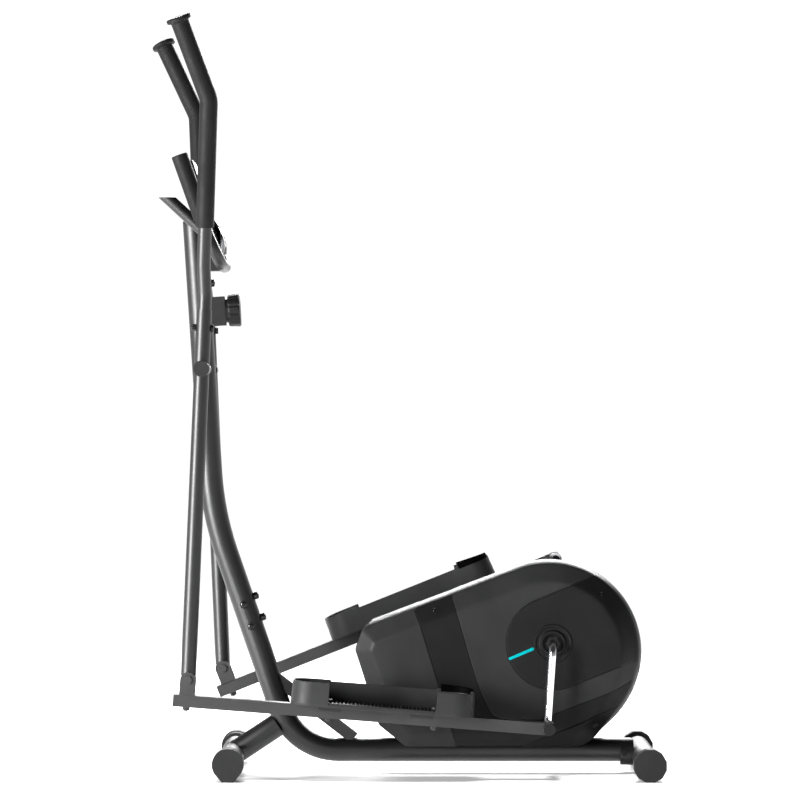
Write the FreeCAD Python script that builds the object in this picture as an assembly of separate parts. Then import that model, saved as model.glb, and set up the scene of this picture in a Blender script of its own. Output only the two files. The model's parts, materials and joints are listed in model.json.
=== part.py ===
"""Elliptical trainer: steel frame, swinging handles, pedal arms and a belt-driven flywheel.

+X points to the rear of the machine, +Y to the user's right-hand side, +Z up.
The origin is on the floor, in the middle of the machine's footprint. Millimetres.
"""
import FreeCAD, Part
import math
import os

# ---- Driving dimensions -------------------------------------------------------------------
TUBE_R = 25.0                 # main tubes, 50 mm outside
WALL = 2.0
BASE_X, BASE_Z = 495.0, 47.3  # rear end and height of the base tube's axis
BEND_X, BEND_R = -154.0, 132.0
MAST_LEAN = 19.0              # lower mast, degrees forward of upright
NECK_LEAN = 3.7               # upper mast
SEAM_RISE = 16.0              # base stub beyond its bend
INSERT_RISE = 265.0           # sleeve that the mast slides over
KNEE_Z, KNEE_R = 549.0, 650.0
NECK_BOLT_Z = 1039.0
MAST_TOP_Z = 1173.0
FRONT_X, FRONT_Z = -380.0, 36.8
REAR_X, REAR_Z = 495.0, 34.0
STAB_HALF = 232.0             # half length of each stabiliser tube
CAP_END = 270.0
CRANK_X, CRANK_Z, THROW = 299.6, 277.5, 172.0
CRANK_TILT = 4.2              # left crank pin, degrees forward of straight down
CRANK_Y, CRANK_R = 116.0, 8.5
CRANK_PIN_R = 7.95
PIVOT_X, PIVOT_Z = -436.5, 856.8
AXLE_R = 12.5
HANDLE_DROP = 648.0           # handle pivot to lower pin
HANDLE_TILT = 2.5             # left handle's lower end forward, right handle's rearward
ARM_Y = 198.0                 # plane of each pedal arm and lower handle tube
ARM_LINK = 758.9              # lower pin to crank pin
ARM_RISE = 44.7               # lower pin above the arm's own axis
ARM_TALL, ARM_WIDE = 25.0, 40.0
HANDLE_R, UPPER_R, GRIP_R = 16.0, 14.3, 19.0
SPLAY = 9.5                   # upper handles spread outwards, degrees
FLY_X, FLY_Z, FLY_R = 35.0, 200.0, 105.0
PULLEY_R, SMALL_R, BELT_Y = 130.0, 20.0, 15.0
BAR_R = 12.7                  # fixed handlebars
GAP = 0.2                     # between parts that only touch
MIDDLE_X = -19.9              # middle of the overall length, in drawing coordinates


# ---- Small helpers ------------------------------------------------------------------------
def vec(x, y, z):
    return FreeCAD.Vector(x, y, z)


def save(name, *shapes):
    """Writes a node, moved so that the machine's middle is at X = 0."""
    shape = Part.makeCompound(list(shapes)) if len(shapes) > 1 else shapes[0].copy()
    shape.translate(vec(-MIDDLE_X, 0, 0))
    shape.exportStep(os.path.join("parts", name + ".step"))


def block(x0, x1, y0, y1, z0, z1):
    return Part.makeBox(x1 - x0, y1 - y0, z1 - z0, vec(x0, y0, z0))


def rod(start, end, radius):
    return Part.makeCylinder(radius, (end - start).Length, start, end - start)


def along_y(x, z, y0, y1, radius):
    """A round bar along Y."""
    return rod(vec(x, min(y0, y1), z), vec(x, max(y0, y1), z), radius)


def ring(x, z, y0, y1, outer, inner):
    return along_y(x, z, y0, y1, outer).cut(along_y(x, z, y0, y1, inner))


def polar(x, z, radius, degrees):
    """A point (x, z) at a distance and an angle above +X."""
    return (x + radius * math.cos(math.radians(degrees)), z + radius * math.sin(math.radians(degrees)))


def prism(outline, y0, y1):
    """A solid between two Y planes from (x, z) points."""
    points = [vec(x, y0, z) for x, z in outline]
    face = Part.Face(Part.makePolygon(points + points[:1]))
    return face.extrude(vec(0, y1 - y0, 0))


def rounded_path(points, radii):
    """Straight runs joined by tangent arcs, one radius for each inner point."""
    edges = []
    start = points[0]
    for corner, after, radius in zip(points[1:-1], points[2:], radii):
        back = (start - corner).normalize()
        ahead = (after - corner).normalize()
        half = back.getAngle(ahead) / 2.0
        reach = radius / math.tan(half)
        inward = (back + ahead).normalize()
        centre = corner + inward * (radius / math.sin(half))
        enter = corner + back * reach
        leave = corner + ahead * reach
        edges.append(Part.LineSegment(start, enter).toShape())
        edges.append(Part.Arc(enter, centre - inward * radius, leave).toShape())
        start = leave
    edges.append(Part.LineSegment(start, points[-1]).toShape())
    return Part.Wire(edges)


def swept(path, radius):
    """A solid round bar along a path."""
    first = path.Edges[0]
    start = first.valueAt(first.FirstParameter)
    direction = first.tangentAt(first.FirstParameter)
    circle = Part.Wire([Part.makeCircle(radius, start, direction)])
    return path.makePipeShell([circle], True, False)


def tube(path, outer, inner):
    return swept(path, outer).cut(swept(path, inner))


def hexagon(centre, direction, flats, height):
    """A hexagonal nut or head standing on a point."""
    side = flats / math.sqrt(3.0)
    corners = [polar(0.0, 0.0, side, 60.0 * i) for i in range(7)]
    face = Part.Face(Part.makePolygon([vec(x, z, 0) for x, z in corners]))
    solid = face.extrude(vec(0, 0, height))
    solid.Placement = FreeCAD.Placement(centre, FreeCAD.Rotation(vec(0, 0, 1), direction))
    return solid


def hull_wire(circles, y):
    """The belt line round a set of (x, z, r) circles, listed anticlockwise."""
    edges = []
    tangents = []
    for (x0, z0, r0), (x1, z1, r1) in zip(circles, circles[1:] + circles[:1]):
        span = math.hypot(x1 - x0, z1 - z0)
        turn = math.atan2(z1 - z0, x1 - x0) - math.pi / 2 + math.asin((r0 - r1) / span)
        tangents.append((turn, (x0, z0, r0), (x1, z1, r1)))
    for i, (turn, first, second) in enumerate(tangents):
        ends = []
        for x, z, r in (first, second):
            ends.append(vec(x + r * math.cos(turn), y, z + r * math.sin(turn)))
        edges.append(Part.LineSegment(ends[0], ends[1]).toShape())
        after = tangents[(i + 1) % len(tangents)][0]
        while after < turn:
            after += 2 * math.pi
        x, z, r = second
        arc = [vec(x + r * math.cos(a), y, z + r * math.sin(a)) for a in (turn, (turn + after) / 2, after)]
        edges.append(Part.Arc(arc[0], arc[1], arc[2]).toShape())
    return Part.Wire(edges)


# ---- Frame --------------------------------------------------------------------------------
def lean(degrees):
    return vec(-math.sin(math.radians(degrees)), 0, math.cos(math.radians(degrees)))


def bend_end():
    turn = math.radians(90.0 - MAST_LEAN)
    return vec(BEND_X - BEND_R * math.sin(turn), 0, BASE_Z + BEND_R * (1 - math.cos(turn)))


def mast_point(z):
    """A point on the mast's axis at a height."""
    start = bend_end()
    knee = start + lean(MAST_LEAN) * ((KNEE_Z - start.z) / lean(MAST_LEAN).z)
    base, direction = (start, lean(MAST_LEAN)) if z < KNEE_Z else (knee, lean(NECK_LEAN))
    return base + direction * ((z - base.z) / direction.z)


def base_path(first_x, rise):
    start = bend_end()
    corner = start - lean(MAST_LEAN) * (BEND_R * math.tan(math.radians(90.0 - MAST_LEAN) / 2))
    return rounded_path([vec(first_x, 0, BASE_Z), corner, start + lean(MAST_LEAN) * rise], [BEND_R - 0.001])


def bolt_sites():
    """Surface points and outward directions of the mast's bolts: four at its sleeve, one at its neck."""
    sites = [(mast_point(z) + vec(0, -TUBE_R, 0), vec(0, -1, 0)) for z in (311.0, 357.0)]
    for z, degrees in ((321.0, MAST_LEAN), (366.0, MAST_LEAN), (NECK_BOLT_Z, NECK_LEAN)):
        rearward = vec(math.cos(math.radians(degrees)), 0, math.sin(math.radians(degrees)))
        sites.append((mast_point(z) + rearward * TUBE_R, rearward))
    return sites


def drilled(shape, sites, radius, depth):
    for point, direction in sites:
        shape = shape.cut(rod(point - direction * depth, point + direction * depth, radius))
    return shape


def base_frame_tube():
    stub = tube(base_path(BASE_X - 27.0, SEAM_RISE), TUBE_R, TUBE_R - WALL)
    start = bend_end() + lean(MAST_LEAN) * SEAM_RISE
    sleeve_end = start + lean(MAST_LEAN) * (INSERT_RISE - SEAM_RISE)
    sleeve_start = start - lean(MAST_LEAN) * 10.0
    sleeve = rod(sleeve_start, sleeve_end, TUBE_R - WALL - GAP / 2)
    sleeve = sleeve.cut(rod(sleeve_start, sleeve_end, TUBE_R - 2 * WALL))
    collar = rod(sleeve_start, start, TUBE_R - 1.0).cut(rod(sleeve_start, start, TUBE_R - 2 * WALL))
    whole = stub.fuse([sleeve, collar])
    saddle = block(REAR_X - 50, REAR_X - 22, -30, 30, 16, 70)
    saddle = saddle.cut(rod(vec(REAR_X - 60, 0, BASE_Z), vec(REAR_X, 0, BASE_Z), TUBE_R - WALL))
    saddle = saddle.common(rod(vec(REAR_X - 60, 0, BASE_Z - 5), vec(REAR_X, 0, BASE_Z - 5), 30))
    whole = whole.fuse(saddle)
    whole = whole.cut(along_y(REAR_X, REAR_Z, -60, 60, TUBE_R + GAP))
    return drilled(whole, bolt_sites(), 4.2, 9.0)


def mast():
    start = bend_end() + lean(MAST_LEAN) * (SEAM_RISE + GAP)
    knee = mast_point(KNEE_Z)
    top = mast_point(MAST_TOP_Z)
    post = tube(rounded_path([start, knee, top], [KNEE_R]), TUBE_R, TUBE_R - WALL + GAP / 2)
    lid = rod(top - lean(NECK_LEAN) * 3, top, TUBE_R)
    post = post.fuse(lid)
    post = post.cut(along_y(PIVOT_X, PIVOT_Z, -40, 40, AXLE_R + 0.05))
    return drilled(post, bolt_sites(), 4.2, 9.0)


def front_strut():
    foot, head = vec(FRONT_X, 0, FRONT_Z), vec(-283.0, 0, 101.0)
    strut = rod(foot, head, TUBE_R).cut(rod(foot, head, TUBE_R - WALL))
    strut = strut.cut(swept(base_path(0.0, SEAM_RISE), TUBE_R))
    pieces = strut.cut(along_y(FRONT_X, FRONT_Z, -60, 60, TUBE_R + GAP)).Solids
    return max(pieces, key=lambda solid: solid.Volume)


def mast_brace():
    low = vec(-121.0, 0, 72.0)
    high = vec(-300.0, 0, 210.0)
    run = high - low
    bar = block(0, run.Length, -12.5, 12.5, -12.5, 12.5)
    bar = bar.cut(block(-1, run.Length + 1, -10.5, 10.5, -10.5, 10.5))
    bar.rotate(vec(0, 0, 0), vec(0, 1, 0), -math.degrees(math.atan2(run.z, run.x)))
    bar.translate(low)
    solid_tube = swept(base_path(BASE_X, SEAM_RISE + 200.0), TUBE_R + 0.05)
    pieces = bar.cut(solid_tube).Solids
    return max(pieces, key=lambda solid: solid.Volume)


def stabilizer(x, z):
    return ring(x, z, -STAB_HALF, STAB_HALF, TUBE_R, TUBE_R - WALL)


def front_end_cap(side):
    """A round cap with a flat foot that reaches the floor, and a plug inside the tube."""
    head = along_y(FRONT_X, FRONT_Z, STAB_HALF + GAP, CAP_END, 33.0)
    foot = prism([(FRONT_X - 27, 18), (FRONT_X - 12, 0), (FRONT_X + 12, 0), (FRONT_X + 27, 18)],
                 STAB_HALF + GAP, CAP_END)
    plug = along_y(FRONT_X, FRONT_Z, STAB_HALF - 20, STAB_HALF + 1, TUBE_R - WALL - GAP)
    return mirrored(head.fuse([foot, plug]).removeSplitter(), side)


def rear_cap(side):
    """A twelve-sided cap that is turned to level the machine."""
    corners = [polar(REAR_X, REAR_Z, REAR_Z / math.cos(math.pi / 12), 15 + 30 * i) for i in range(12)]
    head = prism(corners, STAB_HALF + 0.4, CAP_END)
    plug = along_y(REAR_X, REAR_Z, STAB_HALF - 20, STAB_HALF + 1, TUBE_R - WALL - 0.05)
    return mirrored(head.fuse(plug).removeSplitter(), side)


def transport_wheel(side):
    return mirrored(ring(FRONT_X, FRONT_Z, 196, STAB_HALF - 2, 31.0, TUBE_R + 0.05), side)


def mirrored(shape, side):
    """Parts are drawn on the +Y side; side -1 gives the left-hand one."""
    return shape if side > 0 else shape.mirror(vec(0, 0, 0), vec(0, 1, 0))


def frame_bolts():
    """Domed bolts of the mast joint, and the bolts that hold the two stabilisers."""
    bolts = []
    for point, direction in bolt_sites():
        shank = rod(point - direction * 4, point + direction * 1, 4.0)
        head = rod(point + direction * 0.6, point + direction * 9, 8.0)
        bolts.append(shank.fuse(head).removeSplitter())
    for y in (-15, 15):
        seat = vec(REAR_X + TUBE_R + GAP, y, REAR_Z)
        bolts.append(rod(seat, seat + vec(6, 0, 0), 7.0))
    bolts.append(along_y(REAR_X - 42, BASE_Z - 5, -37, -30 - GAP, 6.0))
    for y in (-32, 32):
        seat, top = (polar(FRONT_X, FRONT_Z, r, 34.0) for r in (TUBE_R + GAP, TUBE_R + 8))
        bolts.append(rod(vec(seat[0], y, seat[1]), vec(top[0], y, top[1]), 6.0))
    return bolts


# ---- Handle axle and swinging handles -----------------------------------------------------
HUB_HALF, PIN_HUB_HALF = 25.0, 17.6
AXLE_HALF = ARM_Y + HUB_HALF + 2.0


def handle_axle():
    return ring(PIVOT_X, PIVOT_Z, -AXLE_HALF, AXLE_HALF, AXLE_R, AXLE_R - WALL)


def axle_end_caps():
    caps = []
    for side in (-1, 1):
        head = along_y(PIVOT_X, PIVOT_Z, AXLE_HALF + GAP, AXLE_HALF + 6, 16.5)
        plug = along_y(PIVOT_X, PIVOT_Z, AXLE_HALF - 16, AXLE_HALF + 1, AXLE_R - WALL - GAP)
        caps.append(mirrored(head.fuse(plug).removeSplitter(), side))
    return caps


def placed_handle(shape, side):
    """Handles are drawn hanging straight down from a pivot at the origin."""
    shape = mirrored(shape, side)
    shape.rotate(vec(0, 0, 0), vec(0, 1, 0), -side * HANDLE_TILT)
    shape.translate(vec(PIVOT_X, 0, PIVOT_Z))
    return shape


HUB_R, PIN_HUB_R, PIN_R = 17.0, 15.0, 6.0
JOINT_RISE, CLAMP_RISE = 123.0, 85.0
FOAM_RISE, CROOK_RISE, TIP_RISE = 294.0, 557.0, 717.5


def handle_point(x, rise):
    """A point on the upper handle's axis; it spreads outwards above the joint."""
    spread = max(0.0, rise - 150.0) * math.tan(math.radians(SPLAY))
    return vec(x, ARM_Y + spread, rise)


def clamp_hole():
    return rod(vec(-40, ARM_Y, CLAMP_RISE), vec(40, ARM_Y, CLAMP_RISE), 4.1)


def lower_handle(side):
    outer = rod(vec(0, ARM_Y, -HANDLE_DROP + 8), vec(0, ARM_Y, JOINT_RISE), HANDLE_R)
    inner = rod(vec(0, ARM_Y, -HANDLE_DROP + 8), vec(0, ARM_Y, JOINT_RISE), UPPER_R + 0.1)
    body = outer.cut(inner)
    body = body.fuse(along_y(0, 0, ARM_Y - HUB_HALF, ARM_Y + HUB_HALF, HUB_R))
    body = body.fuse(along_y(0, -HANDLE_DROP, ARM_Y - PIN_HUB_HALF, ARM_Y + PIN_HUB_HALF, PIN_HUB_R))
    body = body.cut(along_y(0, 0, 100, 250, HUB_R - 2.0))
    body = body.cut(along_y(0, -HANDLE_DROP, 100, 250, PIN_R + 3.0))
    return placed_handle(body.cut(clamp_hole()), side)


def upper_path(first, last):
    """The upper handle's axis between two heights, with the crook at the top."""
    points = [handle_point(0, first), handle_point(0, 150), handle_point(-5, 215)]
    radii = [90.0, 90.0]
    if first > 200:
        points = [handle_point(-5.3, first)]
        radii = []
    points += [handle_point(-6.5, CROOK_RISE), last]
    return rounded_path(points, radii + [48.0])


def grip_tip(extra):
    crook = handle_point(-6.5, CROOK_RISE)
    tip = handle_point(-74.0, TIP_RISE)
    return tip + (tip - crook).normalize() * extra


def upper_handle(side):
    body = tube(upper_path(70.0, grip_tip(-4)), UPPER_R, UPPER_R - 1.6)
    return placed_handle(body.cut(clamp_hole()), side)


def hand_grip(side):
    """The foam sleeve and the flange that closes the tube's end."""
    foam = tube(upper_path(FOAM_RISE, grip_tip(-4)), GRIP_R, UPPER_R + 0.15)
    flange = rod(grip_tip(-3.8), grip_tip(6), 26.3)
    edges = [edge for edge in flange.Edges if abs(edge.Length - 2 * math.pi * 26.3) < 0.1]
    flange = flange.makeFillet(3.0, edges)
    return [placed_handle(foam, side), placed_handle(flange, side)]


def handle_hardware(side):
    """Bushes at both pivots and the bolt that clamps the two tubes."""
    bush = ring(0, 0, ARM_Y - HUB_HALF, ARM_Y + HUB_HALF, HUB_R - 2.05, AXLE_R + 0.05)
    pin_bush = ring(0, -HANDLE_DROP, ARM_Y - PIN_HUB_HALF, ARM_Y + PIN_HUB_HALF, PIN_R + 2.95, PIN_R + 0.05)
    shank = rod(vec(-22, ARM_Y, CLAMP_RISE), vec(19, ARM_Y, CLAMP_RISE), 3.9)
    nut = hexagon(vec(-16.2, ARM_Y, CLAMP_RISE), vec(-1, 0, 0), 13.0, 7.0)
    dome = Part.makeSphere(5.4, vec(-22.6, ARM_Y, CLAMP_RISE))
    head = rod(vec(16.2, ARM_Y, CLAMP_RISE), vec(21.5, ARM_Y, CLAMP_RISE), 7.5)
    bolt = shank.fuse([nut, dome, head])
    return [placed_handle(shape, side) for shape in (bush, pin_bush, bolt)]


# ---- Pedal arms ---------------------------------------------------------------------------
ARM_RUN = math.sqrt(ARM_LINK ** 2 - ARM_RISE ** 2)
ARM_TOP = -ARM_RISE + ARM_TALL / 2
EAR_IN, EAR_OUT = 18.0, 23.0
PEDAL_MIDS = {-1: 408.0, 1: 435.0}     # the right pedal is bolted on further back
PEDAL_LONG, PEDAL_IN, PEDAL_OUT = 383.0, 128.0, 262.0
PEDAL_WALL, PEDAL_HIGH = 4.0, 50.0


def lower_pin(side):
    tilt = math.radians(HANDLE_TILT)
    return vec(PIVOT_X + side * HANDLE_DROP * math.sin(tilt), 0, PIVOT_Z - HANDLE_DROP * math.cos(tilt))


def crank_pin_point(side):
    tilt = math.radians(CRANK_TILT)
    return vec(CRANK_X + side * THROW * math.sin(tilt), 0, CRANK_Z + side * THROW * math.cos(tilt))


def placed_arm(shape, side):
    """Arms are drawn level, with the lower handle pin at the origin and the rear end at +X."""
    shape = mirrored(shape, side)
    run = crank_pin_point(side) - lower_pin(side)
    slope = math.degrees(math.atan2(run.z, run.x) + math.atan2(ARM_RISE, ARM_RUN))
    shape.rotate(vec(0, 0, 0), vec(0, 1, 0), -slope)
    shape.translate(lower_pin(side))
    return shape


def pedal_arm(side):
    half = ARM_WIDE / 2
    low = -ARM_RISE - ARM_TALL / 2
    bar = block(-28, ARM_RUN - 8, ARM_Y - half, ARM_Y + half, low, ARM_TOP)
    bar = bar.cut(block(-26, ARM_RUN - 30, ARM_Y - half + 2, ARM_Y + half - 2, low + 2, ARM_TOP - 2))
    bar = bar.fuse(along_y(ARM_RUN, -ARM_RISE, ARM_Y - half, ARM_Y + half, 13.5))
    bar = bar.cut(along_y(ARM_RUN, -ARM_RISE, 100, 250, CRANK_PIN_R + 0.05))
    bar = bar.cut(rod(vec(0, ARM_Y, low - 5), vec(0, ARM_Y, 0), 4.2))
    for x in (PEDAL_MIDS[side] - 110, PEDAL_MIDS[side] + 110):
        bar = bar.cut(rod(vec(x, ARM_Y, low - 5), vec(x, ARM_Y, 0), 4.2))
    return placed_arm(bar.removeSplitter(), side)


def arm_yoke(side):
    plate = block(-16, 16, ARM_Y - EAR_OUT, ARM_Y + EAR_OUT, ARM_TOP + 0.02, ARM_TOP + 5)
    yoke = plate
    for y in (ARM_Y - EAR_OUT, ARM_Y + EAR_IN):
        ear = block(-16, 16, y, y + EAR_OUT - EAR_IN, ARM_TOP + 0.02, 0)
        yoke = yoke.fuse([ear, along_y(0, 0, y, y + EAR_OUT - EAR_IN, 16.0)])
    yoke = yoke.cut(along_y(0, 0, 100, 250, PIN_R + GAP / 2))
    return placed_arm(yoke.cut(rod(vec(0, ARM_Y, -60), vec(0, ARM_Y, 0), 4.2)).removeSplitter(), side)


def arm_pins(side):
    """The yoke's hinge pin, the bolt that holds the yoke, and the two pedal bolts."""
    pin = along_y(0, 0, ARM_Y - EAR_OUT - 0.1, ARM_Y + EAR_OUT + 0.1, PIN_R)
    for y0, y1 in ((-EAR_OUT - 4, -EAR_OUT - 0.05), (EAR_OUT + 0.05, EAR_OUT + 4)):
        pin = pin.fuse(along_y(0, 0, ARM_Y + y0, ARM_Y + y1, 8.5))
    low = -ARM_RISE - ARM_TALL / 2
    bolts = [pin.removeSplitter()]
    middle = PEDAL_MIDS[side]
    for x, top in ((0, ARM_TOP + 5), (middle - 110, ARM_TOP + 9), (middle + 110, ARM_TOP + 9)):
        shank = rod(vec(x, ARM_Y, low - 9), vec(x, ARM_Y, top + 2), 4.0)
        head = rod(vec(x, ARM_Y, top + 0.1), vec(x, ARM_Y, top + 5), 7.0)
        nut = hexagon(vec(x, ARM_Y, low - 0.1), vec(0, 0, -1), 13.0, 7.0)
        bolts.append(shank.fuse([head, nut]))
    return [placed_arm(bolt, side) for bolt in bolts]


def crank_pin(side):
    """The pin in the arm's rear bearing; it ends just short of the crank's eye."""
    shank = along_y(ARM_RUN, -ARM_RISE, CRANK_Y + 10.5, ARM_Y + 21, CRANK_PIN_R)
    collar = along_y(ARM_RUN, -ARM_RISE, CRANK_Y + 10.5, ARM_Y - ARM_WIDE / 2 - GAP, 12.0)
    head = along_y(ARM_RUN, -ARM_RISE, ARM_Y + ARM_WIDE / 2 + GAP, ARM_Y + 29, 12.5)
    return placed_arm(shank.fuse([collar, head]).removeSplitter(), side)


def rounded_slab(middle, grow, z0, z1):
    """A slab with the foot pedal's plan outline."""
    x0 = middle - PEDAL_LONG / 2 - grow
    slab = block(x0, x0 + PEDAL_LONG + 2 * grow, PEDAL_IN - grow, PEDAL_OUT + grow, z0, z1)
    upright = [e for e in slab.Edges if abs(e.tangentAt(e.FirstParameter).z) > 0.9]
    return slab.makeFillet(46.0 + grow, upright)


def foot_pedal(side):
    low = ARM_TOP + GAP
    middle = PEDAL_MIDS[side]
    tray = rounded_slab(middle, 0, low, low + PEDAL_HIGH)
    tray = tray.cut(rounded_slab(middle, -PEDAL_WALL, low + 6, low + PEDAL_HIGH + 1))
    tray = tray.cut(block(middle - 112, middle + 112, PEDAL_OUT - 30, PEDAL_OUT + 5, low + 9, low + 60))
    for x in (middle - 110, middle + 110):
        tray = tray.cut(rod(vec(x, ARM_Y, low - 5), vec(x, ARM_Y, low + 20), 4.2))
    return placed_arm(tray, side)


# ---- Crank, flywheel and brake ------------------------------------------------------------
def crankshaft():
    left, right = crank_pin_point(-1), crank_pin_point(1)
    left.y, right.y = -CRANK_Y, CRANK_Y
    centre = vec(CRANK_X, 0, CRANK_Z)
    points = [left, centre - vec(0, CRANK_Y, 0), centre + vec(0, CRANK_Y, 0), right]
    shaft = swept(rounded_path(points, [24.0, 24.0]), CRANK_R)
    for end in (left, right):
        shaft = shaft.fuse(along_y(end.x, end.z, end.y - 9, end.y + 9, 13.0))
    for end in (left, right):
        shaft = shaft.cut(along_y(end.x, end.z, end.y - 20, end.y + 20, CRANK_PIN_R + 0.05))
    return shaft


NUT_Y = 84.5


def crank_lock_nuts():
    nuts = []
    for side in (-1, 1):
        nut = hexagon(vec(CRANK_X, side * NUT_Y, CRANK_Z), vec(0, side, 0), 27.0, 7.0)
        nuts.append(nut.cut(along_y(CRANK_X, CRANK_Z, -140, 140, CRANK_R + GAP)))
    return nuts


def drive_pulley():
    web = ring(CRANK_X, CRANK_Z, BELT_Y - 3, BELT_Y + 3, PULLEY_R - 8, CRANK_R + GAP)
    for i in range(6):
        x, z = polar(CRANK_X, CRANK_Z, 75.0, 60 * i)
        web = web.cut(along_y(x, z, 0, 40, 24.0))
    rim = ring(CRANK_X, CRANK_Z, BELT_Y - 7, BELT_Y + 7, PULLEY_R, PULLEY_R - 9)
    hub = ring(CRANK_X, CRANK_Z, BELT_Y - 7, BELT_Y + 7, 24.0, CRANK_R + GAP)
    return web.fuse([rim, hub]).removeSplitter()


BEARING_Y = (-50.0, 6.0)


def crank_bearings():
    bearings = []
    for y0 in (BEARING_Y[0], BEARING_Y[1] - 12):
        bearings.append(ring(CRANK_X, CRANK_Z, y0, y0 + 12, 20.0 - GAP / 2, CRANK_R + 0.05))
    return bearings


BRAKE_X, BRAKE_Z = polar(FLY_X, FLY_Z, 126.0, 72.0)


FOOT_Z = 60.0                 # lower edge of the brackets that straddle the base tube


def drive_bracket():
    """The crank's bearing shell on its post, and the fork that carries the flywheel."""
    shell = along_y(CRANK_X, CRANK_Z, BEARING_Y[0], BEARING_Y[1], 27.0)
    post = block(CRANK_X - 20, CRANK_X + 20, -36, -4, FOOT_Z, CRANK_Z)
    post = post.cut(block(CRANK_X - 17, CRANK_X + 17, -33, -7, BASE_Z, CRANK_Z))
    post = post.cut(rod(vec(BASE_X, 0, BASE_Z), vec(0, 0, BASE_Z), TUBE_R + 0.05))
    whole = shell.fuse(post).cut(along_y(CRANK_X, CRANK_Z, -80, 80, 20.0)).removeSplitter()
    solids = [max(whole.Solids, key=lambda solid: solid.Volume)]
    outline = [(FLY_X - 45, FOOT_Z), (FLY_X + 55, FOOT_Z), (FLY_X + 30, FLY_Z), (BRAKE_X + 16, BRAKE_Z + 6),
               (BRAKE_X - 14, BRAKE_Z + 12), (FLY_X - 18, FLY_Z + 22), (FLY_X - 24, FLY_Z)]
    cradle = block(FLY_X - 45, FLY_X + 55, -TUBE_R - 5.3, TUBE_R + 5.3, FOOT_Z, FOOT_Z + 18)
    cradle = cradle.cut(rod(vec(BASE_X, 0, BASE_Z), vec(-100, 0, BASE_Z), TUBE_R + 0.05))
    for side in (-1, 1):
        cradle = cradle.fuse(mirrored(prism(outline, TUBE_R + 0.3, TUBE_R + 5.3), side))
    cradle = cradle.cut(along_y(FLY_X, FLY_Z, -60, 60, 8.0))
    solids.append(cradle.cut(along_y(BRAKE_X, BRAKE_Z, -60, 60, 4.0)).removeSplitter())
    solids.append(along_y(BRAKE_X, BRAKE_Z, -34, 34, 3.95))
    return solids


def flywheel():
    wheel = ring(FLY_X, FLY_Z, -18, 6, FLY_R, 78.0)
    web = ring(FLY_X, FLY_Z, -10, -2, 80.0, 14.0)
    hub = ring(FLY_X, FLY_Z, -20, 22, 15.0, 8.05)
    pulley = ring(FLY_X, FLY_Z, BELT_Y - 7, BELT_Y + 7, SMALL_R, 14.0)
    return wheel.fuse([web, hub, pulley]).removeSplitter()


def flywheel_axle():
    shaft = along_y(FLY_X, FLY_Z, -44, 44, 7.95)
    for side in (-1, 1):
        nut = hexagon(vec(FLY_X, side * (TUBE_R + 5.5), FLY_Z), vec(0, side, 0), 22.0, 8.0)
        shaft = shaft.fuse(nut)
    return shaft


def belt_circles(extra):
    return [(FLY_X, FLY_Z, SMALL_R + extra), (CRANK_X, CRANK_Z, PULLEY_R + extra)]


def belt_solid(extra, y0, y1):
    return Part.Face(hull_wire(belt_circles(extra), y0)).extrude(vec(0, y1 - y0, 0))


def drive_belt():
    return belt_solid(3.0, BELT_Y - 5, BELT_Y + 5).cut(belt_solid(0.1, BELT_Y - 6, BELT_Y + 6))


IDLER_R = 16.0
IDLER_X = 143.0


def idler_height():
    """The idler's axle height, with its rim just under the belt's lower run."""
    centre_line = math.atan2(CRANK_Z - FLY_Z, CRANK_X - FLY_X)
    spread = math.asin((PULLEY_R - SMALL_R) / math.hypot(CRANK_X - FLY_X, CRANK_Z - FLY_Z))
    slope = centre_line - spread
    reach = SMALL_R + 3.0 + GAP + IDLER_R
    foot_x, foot_z = FLY_X + reach * math.sin(slope), FLY_Z - reach * math.cos(slope)
    return foot_z + (IDLER_X - foot_x) * math.tan(slope)


IDLER_Z = idler_height()


def idler_wheel():
    return ring(IDLER_X, IDLER_Z, BELT_Y - 7, BELT_Y + 5, IDLER_R, 5.05)


def idler_arm():
    strap = prism([(IDLER_X - 9, IDLER_Z + 8), (IDLER_X + 9, IDLER_Z + 8), (IDLER_X + 40, 60),
                   (IDLER_X + 14, 60)], BELT_Y + 5.5, BELT_Y + 9.5)
    strap = strap.cut(rod(vec(0, 0, BASE_Z), vec(BASE_X, 0, BASE_Z), TUBE_R + 0.1))
    return strap.fuse(along_y(IDLER_X, IDLER_Z, BELT_Y - 8, BELT_Y + 8, 5.0))


def brake_arm():
    """A curved magnet carrier just off the flywheel's rim, on a pivot behind its top."""
    band = ring(FLY_X, FLY_Z, -22, 8, FLY_R + 11, FLY_R + 5)
    wedge = [(FLY_X, FLY_Z)] + [polar(FLY_X, FLY_Z, 260.0, a) for a in (72, 115, 158)]
    shoe = band.common(prism(wedge, -30, 30))
    lug = prism([polar(FLY_X, FLY_Z, FLY_R + 7, a) for a in (74, 84)]
                + [(BRAKE_X - 7, BRAKE_Z + 4), (BRAKE_X + 7, BRAKE_Z + 3)], -20, 6)
    arm = shoe.fuse([lug, along_y(BRAKE_X, BRAKE_Z, -22, 20, 8.0)])
    return arm.cut(along_y(BRAKE_X, BRAKE_Z, -40, 40, 4.0)).removeSplitter()


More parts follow.
